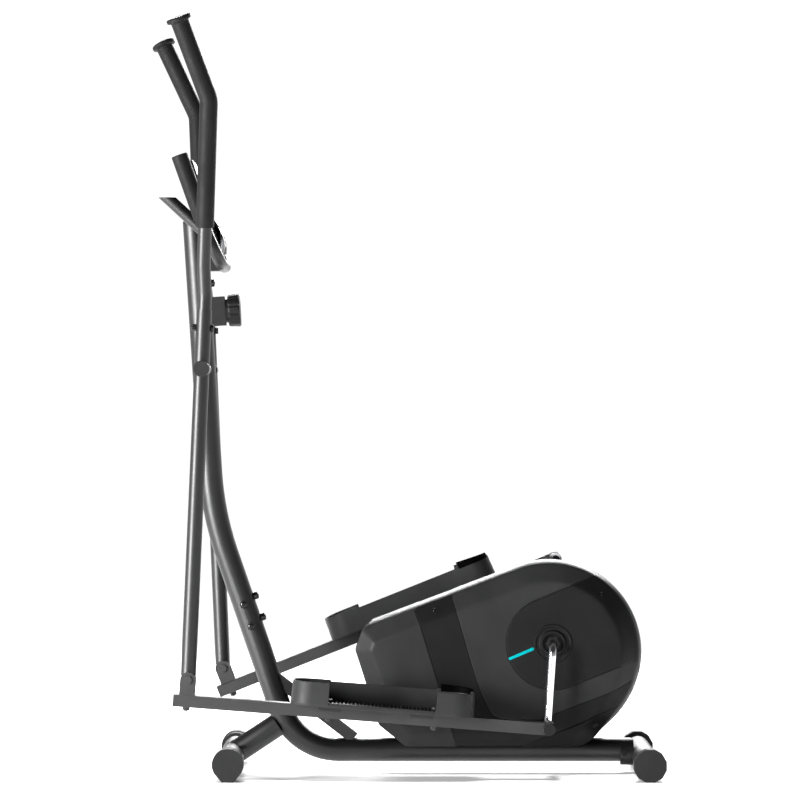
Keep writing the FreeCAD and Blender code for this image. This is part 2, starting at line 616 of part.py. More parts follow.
# ---- Covers -------------------------------------------------------------------------------
COVER = ((-97.2, 296.8, 8.0), (-105.0, 262.0, 12.0), (-56.0, 112.0, 14.0), (-6.0, 72.5, 14.0),
         (340.0, 128.0, 69.5), (293.0, 256.0, 184.0))
CROWN_SHIFTS = ((20.1, 20.4, 0.0), (0.0, 0.0, 0.0), (0.0, 0.0, 0.0), (0.0, 0.0, 0.0), (0.0, 0.0, 0.0),
                (0.0, 0.0, 12.0))
COVER_STATIONS = ((0.0, 1.0, 0.0), (22.0, 1.0, 0.0), (54.0, 0.0, 0.0), (76.0, 0.0, -32.0))
SKIN = 3.0
SWOOSH_ANGLE, DISC_R = 22.0, 98.0


def cover_circles(crown, grow):
    """The circles that the covers' outline wraps, with a share of the crown, grown or shrunk."""
    circles = []
    for (x, z, r), (dx, dz, dr) in zip(COVER, CROWN_SHIFTS):
        circles.append((x + crown * dx, z + crown * dz, max(r + crown * dr + grow, 3.0)))
    return circles


def cover_solid(grow, first_y):
    """The covers' outer form on the +Y side, grown or shrunk by a skin."""
    wires = []
    for i, (y, crown, offset) in enumerate(COVER_STATIONS):
        reach = y + grow * i / 3.0 if i else first_y
        wires.append(hull_wire(cover_circles(crown, offset + grow), reach))
    return Part.makeLoft(wires, True, True)


def shroud(side):
    shell = cover_solid(0.0, GAP / 2).cut(cover_solid(-SKIN, -1.0))
    shell = shell.cut(rod(vec(-250, 0, BASE_Z), vec(BASE_X, 0, BASE_Z), TUBE_R + GAP))
    shell = shell.cut(block(-15, 325, -37, 37, 40, 72))
    shell = shell.cut(along_y(CRANK_X, CRANK_Z, 50, 120, 20.0))
    return mirrored(max(shell.Solids, key=lambda solid: solid.Volume), side)


def skin_panel(region, thick):
    """A raised panel that lies on the cover inside an outline."""
    return cover_solid(thick, 10.0).cut(cover_solid(GAP, 0.0)).common(region)


def side_panels(side):
    nose = prism([(-140, 330), (14, 330), (82, 96), (-140, 96)], 76.0, 100)
    nose = nose.common(prism([(-76, 281), (8, 313), (64, 120), (-26, 104)], 60.0, 100))
    rear = [(92, 345), (134, 208), (153, 153), (181, 116), (420, 116), (420, 440), (92, 440)]
    rear = prism(rear, 76.0, 100)
    rear = rear.cut(disc_region(4.0))
    inner = Part.Face(hull_wire(cover_circles(0.0, -36.0), 60.0)).extrude(vec(0, 40, 0))
    panels = [skin_panel(nose.common(inner), 3.0), skin_panel(rear.common(inner), 3.0)]
    solids = [max(panel.Solids, key=lambda solid: solid.Volume) for panel in panels]
    return [mirrored(solid, side) for solid in solids]


def disc_region(grow):
    """The round crank cover with its band that sweeps up to the rear rim."""
    turn = math.radians(SWOOSH_ANGLE)
    along = vec(math.cos(turn), 0, math.sin(turn))
    across = vec(-math.sin(turn), 0, math.cos(turn))
    centre = vec(CRANK_X, 0, CRANK_Z)
    reach, half = 260.0, DISC_R + grow
    band = [centre + across * half, centre - across * half,
            centre - across * half + along * reach, centre + across * half + along * reach]
    strip = prism([(p.x, p.z) for p in band], 45.0, 120)
    return strip.fuse(along_y(CRANK_X, CRANK_Z, 45.0, 120, half))


def disc_cover(side):
    cover = skin_panel(disc_region(0.0), 6.0)
    cover = max(cover.Solids, key=lambda solid: solid.Volume)
    boss = along_y(CRANK_X, CRANK_Z, 78, 84, 40.0).fuse(along_y(CRANK_X, CRANK_Z, 78, 88, 27.0))
    boss = boss.cut(cover_solid(GAP, 0.0))
    return mirrored(cover.fuse(boss).cut(along_y(CRANK_X, CRANK_Z, 50, 120, 20.0)).removeSplitter(), side)


# ---- Handlebars, console and tension control ----------------------------------------------
BAR_Y, HORN_Y = 135.0, 85.0
BAR_TOP, BAR_KNEE, BAR_LOW = (-485.7, 1303.4), (-424.0, 1130.0), (-400.0, 1078.0)
HORN_TOP, HORN_LOW, HORN_CUT_Z = (-536.0, 1238.7), (-419.5, 1130.7), 1219.0


def bar_points(side):
    return [vec(x, side * BAR_Y, z) for x, z in (BAR_TOP, BAR_KNEE, BAR_LOW)]


def fixed_handlebar():
    left, right = bar_points(-1), bar_points(1)
    path = rounded_path(left + right[::-1], [90.0, 42.0, 42.0, 90.0])
    return tube(path, BAR_R, BAR_R - 1.6)


def fixed_grips():
    grips = []
    for side in (-1, 1):
        top, knee, low = bar_points(side)
        down = (knee - top).normalize()
        sleeve = rod(top - down * 3, top + down * 140, 17.5)
        grips.append(sleeve.cut(rod(top, top + down * 150, BAR_R + 0.1)))
    return grips


def front_bar():
    points = []
    for side, ends in ((-1, (HORN_TOP, HORN_LOW)), (1, (HORN_LOW, HORN_TOP))):
        points += [vec(x, side * HORN_Y, z) for x, z in ends]
    bar = tube(rounded_path(points, [30.0, 30.0]), BAR_R, BAR_R - 1.6)
    return bar.cut(block(-600, -450, -120, 120, HORN_CUT_Z, 1300))


def handlebar_clamp():
    outline = [(-445, 1066), (-402, 1066), (-396, 1072), (-396, 1084), (-406, 1097),
               (-406, 1146), (-445, 1146)]
    clamp = prism(outline, -22, 22)
    for x, z in (BAR_LOW, HORN_LOW):
        clamp = clamp.cut(along_y(x, z, -60, 60, BAR_R + 0.05))
    mast_core = rod(mast_point(1000), mast_point(1170), TUBE_R + 0.05)
    return max(clamp.cut(mast_core).Solids, key=lambda solid: solid.Volume)


CONSOLE_HALF, HEAD_HALF, SCREEN_HALF = 95.0, 66.0, 40.0
BUTTON_Z, BUTTON_Y, BUTTON_R = 1109.0, 22.0, 6.0


def console_housing():
    """A slanted rest for a tablet above a small display head."""
    rest = prism([(-471, 1295), (-460, 1299), (-421, 1175.5), (-431.5, 1170)], -CONSOLE_HALF, CONSOLE_HALF)
    front = [(-431.5, 1170), (-421, 1175.5), (-407, 1156.5), (-398.5, 1140), (-394.3, 1124)]
    under = [(-394.5, 1112), (-398, 1101), (-402, 1096.5), (-405.5, 1098), (-405.5, 1147.5), (-431, 1147.5)]
    head = prism(front + under, -HEAD_HALF, HEAD_HALF)
    whole = rest.fuse(head).removeSplitter()
    for side in (-1, 1):
        y = side * BUTTON_Y
        whole = whole.cut(rod(vec(-403, y, BUTTON_Z), vec(-380, y, BUTTON_Z), BUTTON_R + 0.3))
    return whole.cut(block(-399, -380, -SCREEN_HALF, SCREEN_HALF, 1118, 1138))


def console_screen():
    outline = [(-398.9, 1118.2), (-394.9, 1118.2), (-394.9, 1123.5), (-398.3, 1137.8), (-398.9, 1137.8)]
    return prism(outline, GAP - SCREEN_HALF, SCREEN_HALF - GAP)


def console_button(side):
    return rod(vec(-399.5, side * BUTTON_Y, BUTTON_Z), vec(-393.5, side * BUTTON_Y, BUTTON_Z), BUTTON_R)


def tablet_ledge():
    """A strip on the head's sloping top, where a tablet's lower edge stands."""
    outline = [(-418.8, 1172.9), (-408.8, 1159.3), (-407.1, 1160.6), (-417.1, 1174.2)]
    return prism(outline, -HEAD_HALF, HEAD_HALF)


KNOB_MID_Z = 978.0


def neck_frame(shape):
    """Turns a part drawn along +X so that it stands square on the upper mast."""
    shape.rotate(vec(0, 0, 0), vec(0, 1, 0), -NECK_LEAN)
    shape.translate(mast_point(KNOB_MID_Z))
    return shape


def tension_block():
    body = block(TUBE_R - 6, 54, -17, 17, -31, 31)
    body = body.cut(rod(vec(0, 0, -60), vec(0, 0, 60), TUBE_R + 0.05))
    body = max(body.Solids, key=lambda solid: solid.Volume)
    return neck_frame(body.fuse(rod(vec(50, 0, 0), vec(66, 0, 0), 6.0)))


def tension_knob():
    knob = rod(vec(54.4, 0, 0), vec(86, 0, 0), 35.0)
    knob = knob.cut(rod(vec(50, 0, 0), vec(66.3, 0, 0), 6.05))
    for i in range(24):
        y, z = polar(0, 0, 36.6, 15 * i)
        knob = knob.cut(rod(vec(57, y, z), vec(90, y, z), 3.0))
    return neck_frame(knob)


# ---- All nodes ----------------------------------------------------------------------------
def build():
    os.makedirs("parts", exist_ok=True)
    save("base_frame_tube", base_frame_tube())
    save("mast", mast())
    save("front_strut", front_strut())
    save("mast_brace", mast_brace())
    save("front_stabilizer", stabilizer(FRONT_X, FRONT_Z))
    save("rear_stabilizer", stabilizer(REAR_X, REAR_Z))
    save("front_end_caps", front_end_cap(-1), front_end_cap(1))
    save("frame_bolts", *frame_bolts())
    save("handle_axle", handle_axle())
    save("axle_end_caps", *axle_end_caps())
    for side, word in ((-1, "left"), (1, "right")):
        save("rear_cap_" + word, rear_cap(side))
        save("transport_wheel_" + word, transport_wheel(side))
        save("lower_handle_" + word, lower_handle(side))
        save("upper_handle_" + word, upper_handle(side))
        save("hand_grip_" + word, *hand_grip(side))
        save("handle_hardware_" + word, *handle_hardware(side))
        save("pedal_arm_" + word, pedal_arm(side))
        save("arm_yoke_" + word, arm_yoke(side))
        save("arm_pins_" + word, *arm_pins(side))
        save("crank_pin_" + word, crank_pin(side))
        save("foot_pedal_" + word, foot_pedal(side))
        save("shroud_" + word, shroud(side))
        save("side_panels_" + word, *side_panels(side))
        save("disc_cover_" + word, disc_cover(side))
        save("console_button_" + word, console_button(side))
    save("crankshaft", crankshaft())
    save("crank_lock_nuts", *crank_lock_nuts())
    save("drive_pulley", drive_pulley())
    save("crank_bearings", *crank_bearings())
    save("drive_bracket", *drive_bracket())
    save("flywheel", flywheel())
    save("flywheel_axle", flywheel_axle())
    save("drive_belt", drive_belt())
    save("idler_wheel", idler_wheel())
    save("idler_arm", idler_arm())
    save("brake_arm", brake_arm())
    save("fixed_handlebar", fixed_handlebar())
    save("fixed_grips", *fixed_grips())
    save("front_bar", front_bar())
    save("handlebar_clamp", handlebar_clamp())
    save("console_housing", console_housing())
    save("console_screen", console_screen())
    save("tablet_ledge", tablet_ledge())
    save("tension_block", tension_block())
    save("tension_knob", tension_knob())


build()
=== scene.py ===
import json
import math

import bmesh
import bpy
import numpy as np
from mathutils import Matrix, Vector
from mathutils.geometry import delaunay_2d_cdt


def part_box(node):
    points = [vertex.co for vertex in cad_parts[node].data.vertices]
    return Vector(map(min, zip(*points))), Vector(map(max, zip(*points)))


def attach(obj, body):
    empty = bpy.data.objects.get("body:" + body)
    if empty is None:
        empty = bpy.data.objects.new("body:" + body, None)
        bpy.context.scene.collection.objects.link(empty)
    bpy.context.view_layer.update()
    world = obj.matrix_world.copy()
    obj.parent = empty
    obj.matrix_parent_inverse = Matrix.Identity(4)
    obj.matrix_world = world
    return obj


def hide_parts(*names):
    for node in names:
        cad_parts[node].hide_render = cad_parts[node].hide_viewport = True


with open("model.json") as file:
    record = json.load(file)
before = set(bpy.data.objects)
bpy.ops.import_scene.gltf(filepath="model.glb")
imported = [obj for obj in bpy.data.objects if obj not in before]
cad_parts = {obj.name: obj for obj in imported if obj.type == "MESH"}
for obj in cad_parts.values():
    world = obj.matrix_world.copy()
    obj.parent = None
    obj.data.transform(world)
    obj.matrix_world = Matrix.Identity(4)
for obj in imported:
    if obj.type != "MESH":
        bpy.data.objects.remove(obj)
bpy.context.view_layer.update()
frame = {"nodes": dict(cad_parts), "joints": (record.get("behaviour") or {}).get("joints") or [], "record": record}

MM = 0.001
SIDES = ((-1, "left"), (1, "right"))
JOINTS = {joint["name"]: joint for joint in frame["joints"]}
SLOTS = {part["node"]: part["material_slot"] for part in frame["record"]["subparts"]}


def joint_place(name):
    """A hinge's place in millimetres."""
    return Vector(JOINTS[name]["pos_m"]) / MM


def node_middle(name):
    """The middle of a node's CAD box in millimetres."""
    low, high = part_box(name)
    return (low + high) / 2 / MM


CRANK = joint_place("crank_spin")


# ---- Materials ----------------------------------------------------------------------------
def link(tree, source, target):
    tree.links.new(source, target)


def noise_node(tree, coords, scale, detail=3.0):
    node = tree.nodes.new("ShaderNodeTexNoise")
    node.inputs["Scale"].default_value = scale
    node.inputs["Detail"].default_value = detail
    link(tree, coords, node.inputs["Vector"])
    return node.outputs["Fac"]


def spread(tree, source, low, high, start=0.3, stop=0.7):
    """Maps a value onto a range."""
    node = tree.nodes.new("ShaderNodeMapRange")
    node.inputs["From Min"].default_value = start
    node.inputs["From Max"].default_value = stop
    node.inputs["To Min"].default_value = low
    node.inputs["To Max"].default_value = high
    link(tree, source, node.inputs["Value"])
    return node.outputs["Result"]


def edge_wear(tree, tint, color, soft_normal, amount):
    """A paler line where the rounded normal leaves the flat one, which is along the edges."""
    flat = tree.nodes.new("ShaderNodeNewGeometry").outputs["Normal"]
    dot = tree.nodes.new("ShaderNodeVectorMath")
    dot.operation = "DOT_PRODUCT"
    link(tree, flat, dot.inputs[0])
    link(tree, soft_normal, dot.inputs[1])
    mix = tree.nodes.new("ShaderNodeMix")
    mix.data_type = "RGBA"
    mix.inputs["B"].default_value = [min(1.0, c * 2.5 + 0.03) for c in color] + [1]
    link(tree, tint, mix.inputs["A"])
    link(tree, spread(tree, dot.outputs["Value"], amount, 0.0, 0.8, 0.98), mix.inputs["Factor"])
    return mix.outputs["Result"]


def surface(name, color, rough, metallic=0.0, grain=900.0, depth=0.02, mottle=0.15, rough_spread=0.06,
            specular=0.3, coat=0.0, coat_rough=0.2, rounding=0.0, wear=0.0, sheen=0.0):
    """A shaded surface with colour mottling, a fine bumped grain and uneven gloss."""
    mat = bpy.data.materials.new(name)
    mat.use_nodes = True
    tree = mat.node_tree
    shader = tree.nodes["Principled BSDF"]
    shader.inputs["Metallic"].default_value = metallic
    shader.inputs["Specular IOR Level"].default_value = specular
    shader.inputs["Coat Weight"].default_value = coat
    shader.inputs["Coat Roughness"].default_value = coat_rough
    shader.inputs["Sheen Weight"].default_value = sheen
    coords = tree.nodes.new("ShaderNodeTexCoord").outputs["Object"]
    mix = tree.nodes.new("ShaderNodeMix")
    mix.data_type = "RGBA"
    mix.inputs["A"].default_value = [c * (1 - mottle) for c in color] + [1]
    mix.inputs["B"].default_value = [c * (1 + mottle) for c in color] + [1]
    link(tree, spread(tree, noise_node(tree, coords, 14.0), 0.0, 1.0), mix.inputs["Factor"])
    tint = mix.outputs["Result"]
    gloss = noise_node(tree, coords, 40.0)
    link(tree, spread(tree, gloss, rough - rough_spread, rough + rough_spread), shader.inputs["Roughness"])
    bump = tree.nodes.new("ShaderNodeBump")
    bump.inputs["Strength"].default_value = 1.0
    bump.inputs["Distance"].default_value = depth * MM
    link(tree, noise_node(tree, coords, grain, 2.0), bump.inputs["Height"])
    if rounding:
        soft = tree.nodes.new("ShaderNodeBevel")
        soft.samples = 4
        soft.inputs["Radius"].default_value = rounding * MM
        link(tree, soft.outputs["Normal"], bump.inputs["Normal"])
        if wear:
            tint = edge_wear(tree, tint, color, soft.outputs["Normal"], wear)
    link(tree, tint, shader.inputs["Base Color"])
    link(tree, bump.outputs["Normal"], shader.inputs["Normal"])
    return mat


def grey(value):
    return (value, value, value * 1.03)


MATERIALS = {
    "frame_paint": surface("frame_paint", grey(0.002), 0.42, specular=0.65, grain=2200, depth=0.004,
                           rough_spread=0.02),
    "arm_paint": surface("arm_paint", grey(0.036), 0.48, grain=900, depth=0.02, rounding=1.2, wear=0.4),
    "black_steel": surface("black_steel", grey(0.006), 0.30, grain=1200, depth=0.01, rounding=0.5, wear=0.5),
    "chrome": surface("chrome", grey(0.78), 0.10, metallic=1.0, grain=260, depth=0.002, mottle=0.04,
                      rough_spread=0.04, rounding=0.6),
    "steel": surface("steel", grey(0.45), 0.28, metallic=1.0, grain=1500, depth=0.01, rounding=0.5),
    "iron": surface("iron", grey(0.10), 0.5, metallic=0.7, grain=500, depth=0.05, rounding=0.8),
    "cap_plastic": surface("cap_plastic", grey(0.018), 0.52, specular=0.2, grain=1600, depth=0.03,
                           rounding=1.5, wear=0.15),
    "shroud_plastic": surface("shroud_plastic", grey(0.004), 0.42, specular=0.15, grain=1800, depth=0.02),
    "panel_plastic": surface("panel_plastic", grey(0.021), 0.48, specular=0.16, grain=1800, depth=0.03),
    "disc_plastic": surface("disc_plastic", grey(0.008), 0.44, specular=0.15, grain=1800, depth=0.03),
    "pedal_plastic": surface("pedal_plastic", grey(0.028), 0.50, specular=0.2, grain=1500, depth=0.04,
                             rounding=0.8, wear=0.2),
    "foam": surface("foam", grey(0.006), 0.62, grain=1300, depth=0.10, mottle=0.2, specular=0.2, sheen=0.02),
    "knob_plastic": surface("knob_plastic", grey(0.007), 0.45, specular=0.2, grain=1500, depth=0.03,
                            rounding=0.6, wear=0.2),
    "console_plastic": surface("console_plastic", grey(0.014), 0.40, grain=1600, depth=0.02, rounding=0.8),
    "display": surface("display", (0.30, 0.34, 0.29), 0.12, grain=900, depth=0.002, coat=0.8,
                       coat_rough=0.05),
    "button_plastic": surface("button_plastic", grey(0.16), 0.6, grain=1500, depth=0.03, rounding=0.5),
    "nylon": surface("nylon", (0.45, 0.43, 0.38), 0.5, grain=1200, depth=0.02),
    "belt_rubber": surface("belt_rubber", grey(0.014), 0.7, grain=900, depth=0.05),
}
MIDDLE_PLASTIC = surface("middle_plastic", grey(0.007), 0.46, specular=0.15, grain=1800, depth=0.03)
HEEL_PLASTIC = surface("heel_plastic", grey(0.003), 0.36, specular=0.15, grain=1800, depth=0.02)
ACCENT = surface("accent", (0.0, 0.36, 0.39), 0.5, grain=1500, depth=0.01, mottle=0.05, specular=0.05)
RUBBER = surface("bumper_rubber", grey(0.001), 0.6, specular=0.02, grain=1400, depth=0.05)
SILVER_TRIM = surface("silver_trim", grey(0.22), 0.40, metallic=0.6, grain=1500, depth=0.01, mottle=0.05)
SCREW = surface("screw_black", grey(0.002), 0.20, specular=0.6, grain=1500, depth=0.01)


def paint_cad_nodes():
    for node, slot in SLOTS.items():
        piece = frame["nodes"][node]
        piece.data.materials.clear()
        piece.data.materials.append(MATERIALS[slot])


# ---- Small mesh helpers -------------------------------------------------------------------
def add_piece(name, bm, body, slot, material=None, nodes=(), smooth=35.0):
    """Turns a bmesh drawn in millimetres into a piece that rides on a body."""
    bmesh.ops.scale(bm, vec=(MM, MM, MM), verts=bm.verts)
    bmesh.ops.recalc_face_normals(bm, faces=bm.faces)
    mesh = bpy.data.meshes.new(name)
    bm.to_mesh(mesh)
    bm.free()
    piece = bpy.data.objects.new(name, mesh)
    bpy.context.scene.collection.objects.link(piece)
    mesh.materials.append(material or MATERIALS[slot])
    mesh.shade_smooth()
    mesh.set_sharp_from_angle(angle=math.radians(smooth))
    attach(piece, body)
    if nodes:
        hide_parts(*nodes)
    return piece


def add_loop(bm, points):
    return [bm.verts.new(p) for p in points]


def bridge(bm, first, second, closed=True):
    """Quads between two loops of equal length."""
    count = len(first)
    for i in range(count if closed else count - 1):
        j = (i + 1) % count
        bm.faces.new((first[i], first[j], second[j], second[i]))


def lathe(bm, profile, to_place, steps=72, lobes=None):
    """Turns (radius, height) pairs round an axis; to_place maps local (a, b, height)."""
    loops = []
    for radius, height in profile:
        ring = []
        for i in range(steps):
            angle = 2 * math.pi * i / steps
            r = radius + (lobes(angle, radius, height) if lobes else 0.0)
            ring.append(to_place(r * math.cos(angle), r * math.sin(angle), height))
        loops.append(add_loop(bm, ring))
    for first, second in zip(loops, loops[1:]):
        bridge(bm, first, second)
    return loops


def outward_place(middle, outward):
    """Maps (a, b, height) into the frame, with height along an outward direction from a place."""
    turn = outward.to_track_quat("Z", "Y")
    return lambda a, b, height: middle + turn @ Vector((a, b, height))


def add_prism(bm, near_points, far_points):
    """A closed block between two outlines of equal length."""
    near, far = add_loop(bm, near_points), add_loop(bm, far_points)
    bridge(bm, near, far)
    bm.faces.new(near)
    bm.faces.new(far[::-1])


def rounded_prism(outline, y0, y1, radius):
    """A prism across the machine with rounded edges, its outline in the housing's numbers."""
    bm = bmesh.new()
    add_prism(bm, [(x + SHIFT, y0, z) for x, z in outline], [(x + SHIFT, y1, z) for x, z in outline])
    bmesh.ops.recalc_face_normals(bm, faces=bm.faces)
    bmesh.ops.bevel(bm, geom=list(bm.edges), offset=radius, segments=3, affect="EDGES", profile=0.5)
    return bm


# ---- Housing ------------------------------------------------------------------------------
SHIFT = 19.9                      # the housing's numbers are 19.9 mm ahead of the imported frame's
# The side outline is a belt round circles of (x, z, radius); the crest along the middle stands a little
# outside it at the top.
COVER = ((-97.2, 296.8, 8.0), (-105.0, 262.0, 12.0), (-56.0, 112.0, 14.0), (-6.0, 72.5, 14.0),
         (340.0, 128.0, 69.5), (293.0, 256.0, 184.0))
CROWNED = ((-77.1, 317.2, 8.0),) + COVER[1:5] + ((293.0, 256.0, 196.0),)
RIM_Y, FACE_Y, BEVEL = 54.0, 76.0, 32.0
FACE_SOFT = 1.2                   # how gently the bevel turns into the flat face
# Shares of the rim's width and of the way up to the crest, from the rim to the centre plane.
CROWN = ((1.0, 0.0), (0.95, 0.22), (0.86, 0.47), (0.74, 0.69), (0.60, 0.86), (0.42, 0.96), (0.2, 1.0),
         (0.004, 1.0))
# How far each panel stands out from the shells' surface.
LINER_LIFT, NOSE_LIFT, MIDDLE_LIFT, REAR_LIFT, HEEL_LIFT, DISC_LIFT = -2.5, 2.6, 0.8, 2.6, 2.2, 5.4
SEAM_ROUND, SEAM_DROP = 0.9, 1.1  # width and depth of a panel's rounded edge along its seams
SKIRT = 4.0                       # depth of the wall that closes a panel's edge
MESH_STEP, GRID_STEP = 3.0, 9.0   # spacing of the points along the borders and inside the panels


def hull_parts(circles):
    """The straight runs and arcs of a belt round a set of circles, anticlockwise."""
    turns = []
    for (x0, z0, r0), (x1, z1, r1) in zip(circles, circles[1:] + circles[:1]):
        span = math.hypot(x1 - x0, z1 - z0)
        turns.append(math.atan2(z1 - z0, x1 - x0) - math.pi / 2 + math.asin((r0 - r1) / span))
    parts = []
    for i, turn in enumerate(turns):
        after = turns[(i + 1) % len(turns)]
        while after < turn:
            after += 2 * math.pi
        parts.append((turn, after, circles[i], circles[(i + 1) % len(circles)]))
    return parts


def hull_outline(circles, counts):
    """Points and outward normals round the belt, with a set number on each run and arc."""
    points, normals = [], []
    for (turn, after, first, second), (on_run, on_arc) in zip(hull_parts(circles), counts):
        ahead = np.array([math.cos(turn), math.sin(turn)])
        start, end = np.array(first[:2]) + ahead * first[2], np.array(second[:2]) + ahead * second[2]
        for k in range(on_run):
            points.append(start + (end - start) * k / on_run)
            normals.append(ahead)
        for k in range(on_arc):
            angle = turn + (after - turn) * k / on_arc
            ahead = np.array([math.cos(angle), math.sin(angle)])
            points.append(np.array(second[:2]) + ahead * second[2])
            normals.append(ahead)
    return np.array(points), np.array(normals)


def sample_counts(circles, step):
    counts = []
    for turn, after, first, second in hull_parts(circles):
        ahead = Vector((math.cos(turn), math.sin(turn)))
        run = (Vector(second[:2]) + ahead * second[2] - Vector(first[:2]) - ahead * first[2]).length
        counts.append((max(2, int(run / step)), max(4, int((after - turn) * second[2] / step))))
    return counts


COUNTS = sample_counts(COVER, MESH_STEP)
RIM, RIM_OUT = hull_outline(COVER, COUNTS)
CREST = hull_outline(CROWNED, COUNTS)[0]


def ramp(value, start, stop):
    """Smooth step from 0 to 1."""
    t = np.clip((value - start) / (stop - start), 0.0, 1.0)
    return t * t * (3 - 2 * t)


def depth_inside(points):
    """Distance of points from the rim, measured inwards."""
    return ((RIM[None] - points[:, None]) * RIM_OUT[None]).sum(2).min(1)


def front_dish(points):
    """How far the nose curves in towards its front edge, more so low down."""
    foremost = np.argmin(RIM_OUT[:, 0])
    inward = ((RIM[foremost][None] - points) * RIM_OUT[foremost][None]).sum(1)
    lower = ramp(300.0 - points[:, 1], 0.0, 120.0)
    return (5.0 + 13.0 * lower) * (1.0 - ramp(inward, -4.0, 92.0))


def cover_height(points, lift):
    """The outer side surface: bevel, flat face and the nose's dish, raised by a panel's lift."""
    deep = np.clip(depth_inside(points), 0.0, 1.8 * BEVEL)
    slope = RIM_Y + (FACE_Y - RIM_Y) * deep / BEVEL
    gap = (slope - FACE_Y) / FACE_SOFT
    face = slope - FACE_SOFT * np.log1p(np.exp(gap))
    return face + lift * ramp(deep, -4.0, BEVEL + 4.0) - front_dish(points)


def nearest_rim(point):
    return int(np.argmin(((RIM - np.array(point)) ** 2).sum(1)))


def rim_run(start, stop):
    """Rim samples from near one point anticlockwise to near another."""
    i, j = nearest_rim(start), nearest_rim(stop)
    if j <= i:
        j += len(RIM)
    return [k % len(RIM) for k in range(i, j + 1)]


def resampled(points, step):
    """A polyline cut into short pieces, without its last point."""
    out = []
    for a, b in zip(points, points[1:]):
        a, b = np.array(a, float), np.array(b, float)
        count = max(1, int(np.linalg.norm(b - a) / step))
        out += [a + (b - a) * k / count for k in range(count)]
    return out


def to_segments(points, starts, ends):
    """Distance from each point to the nearest of a set of segments."""
    along = ends - starts
    share = ((points[:, None] - starts[None]) * along[None]).sum(2)
    share = share / np.maximum((along ** 2).sum(1), 1e-9)[None]
    foot = starts[None] + np.clip(share, 0, 1)[:, :, None] * along[None]
    return np.sqrt(((points[:, None] - foot) ** 2).sum(2)).min(1)


def inside_polygon(points, polygon):
    x, z = points[:, 0][:, None], points[:, 1][:, None]
    a, b = polygon, np.roll(polygon, -1, axis=0)
    crosses = (a[None, :, 1] > z) != (b[None, :, 1] > z)
    rise = np.where(np.abs(b[:, 1] - a[:, 1]) < 1e-9, 1e-9, b[:, 1] - a[:, 1])
    at = a[None, :, 0] + (z - a[None, :, 1]) * ((b[:, 0] - a[:, 0]) / rise)[None]
    return (crosses & (x < at)).sum(1) % 2 == 1


def cover_region(side, runs, lift):
    """A panel of the housing. runs lists ("seam", points) and ("rim", start, stop), anticlockwise."""
    border, is_seam, crowns = [], [], []
    for run in runs:
        if run[0] == "seam":
            samples = resampled(run[1], MESH_STEP)
            border += samples
            is_seam += [True] * len(samples)
        else:
            picked = rim_run(run[1], run[2])
            crowns.append(picked)
            border += [RIM[k] for k in picked]
            is_seam += [False] * (len(picked) - 1) + [True]
    border = np.array(border)
    seam = np.array(is_seam)
    starts, ends = border, np.roll(border, -1, axis=0)
    low, high = border.min(0), border.max(0)
    xs, zs = np.meshgrid(np.arange(low[0], high[0], GRID_STEP), np.arange(low[1], high[1], GRID_STEP))
    extra = [np.stack([xs.ravel(), zs.ravel()], 1)]
    # Rows of points on both sides of the bevel's upper edge and along the seams hold their curves.
    for level in (BEVEL - 4.0, BEVEL - 1.2, BEVEL + 1.2, BEVEL + 4.0):
        extra.append((RIM - RIM_OUT * level)[::2])
    tangent = np.roll(border, -1, 0) - np.roll(border, 1, 0)
    inward = np.stack([-tangent[:, 1], tangent[:, 0]], 1)
    inward /= np.maximum(np.linalg.norm(inward, axis=1), 1e-6)[:, None]
    for step in (SEAM_ROUND * 0.5, SEAM_ROUND * 1.2, MESH_STEP):
        extra.append(border[seam] + inward[seam] * step)
    extra = np.concatenate(extra)
    extra = extra[inside_polygon(extra, border)]
    near = to_segments(extra, starts, ends)
    deep = depth_inside(extra)
    crease = np.abs(np.abs(deep - BEVEL) - 2.6) < 1.5
    extra = extra[(near > 0.35) & ((near > 2.5) | (near < SEAM_ROUND * 1.3) | crease)]
    verts = [Vector(p) for p in np.concatenate([border, extra])]
    flat, _, faces, *_ = delaunay_2d_cdt(verts, [], [list(range(len(border)))], 1, 0.01)
    flat = np.array([tuple(p) for p in flat])
    height = cover_height(flat, lift)
    if seam.any():
        edge = to_segments(flat, starts[seam], ends[seam])
        height -= SEAM_DROP * (1 - np.clip(edge / SEAM_ROUND, 0, 1)) ** 2
    bm = bmesh.new()
    for (x, z), y in zip(flat, height):
        bm.verts.new((x + SHIFT, side * y, z))
    bm.verts.ensure_lookup_table()
    for face in faces:
        if len(set(face)) > 2:
            bm.faces.new([bm.verts[i] for i in face])
    for picked in crowns:
        rim, out = RIM[picked], RIM_OUT[picked]
        edge_y = cover_height(rim, lift)
        loops = []
        for share, rise in CROWN:
            reach = rim + (CREST[picked] - rim) * rise + out * (lift * 0.25 if rise else 0.0)
            row = [(x + SHIFT, side * y * share, z) for (x, z), y in zip(reach, edge_y)]
            loops.append(add_loop(bm, row))
        for first, second in zip(loops, loops[1:]):
            bridge(bm, first, second, closed=False)
    bmesh.ops.remove_doubles(bm, verts=bm.verts, dist=0.02)
    return bm


def add_skirt(bm):
    """Closes a panel's open border with a thin wall that goes in, built in the same order every run."""
    border = [edge for edge in bm.edges if edge.is_boundary]
    inner = {}
    for vert in [vert for edge in border for vert in edge.verts]:
        if vert not in inner:
            depth = math.copysign(min(SKIRT, abs(vert.co.y)), vert.co.y)
            inner[vert] = bm.verts.new(vert.co - Vector((0, depth, 0)))
    for first, second in [tuple(edge.verts) for edge in border]:
        bm.faces.new((first, second, inner[second], inner[first]))


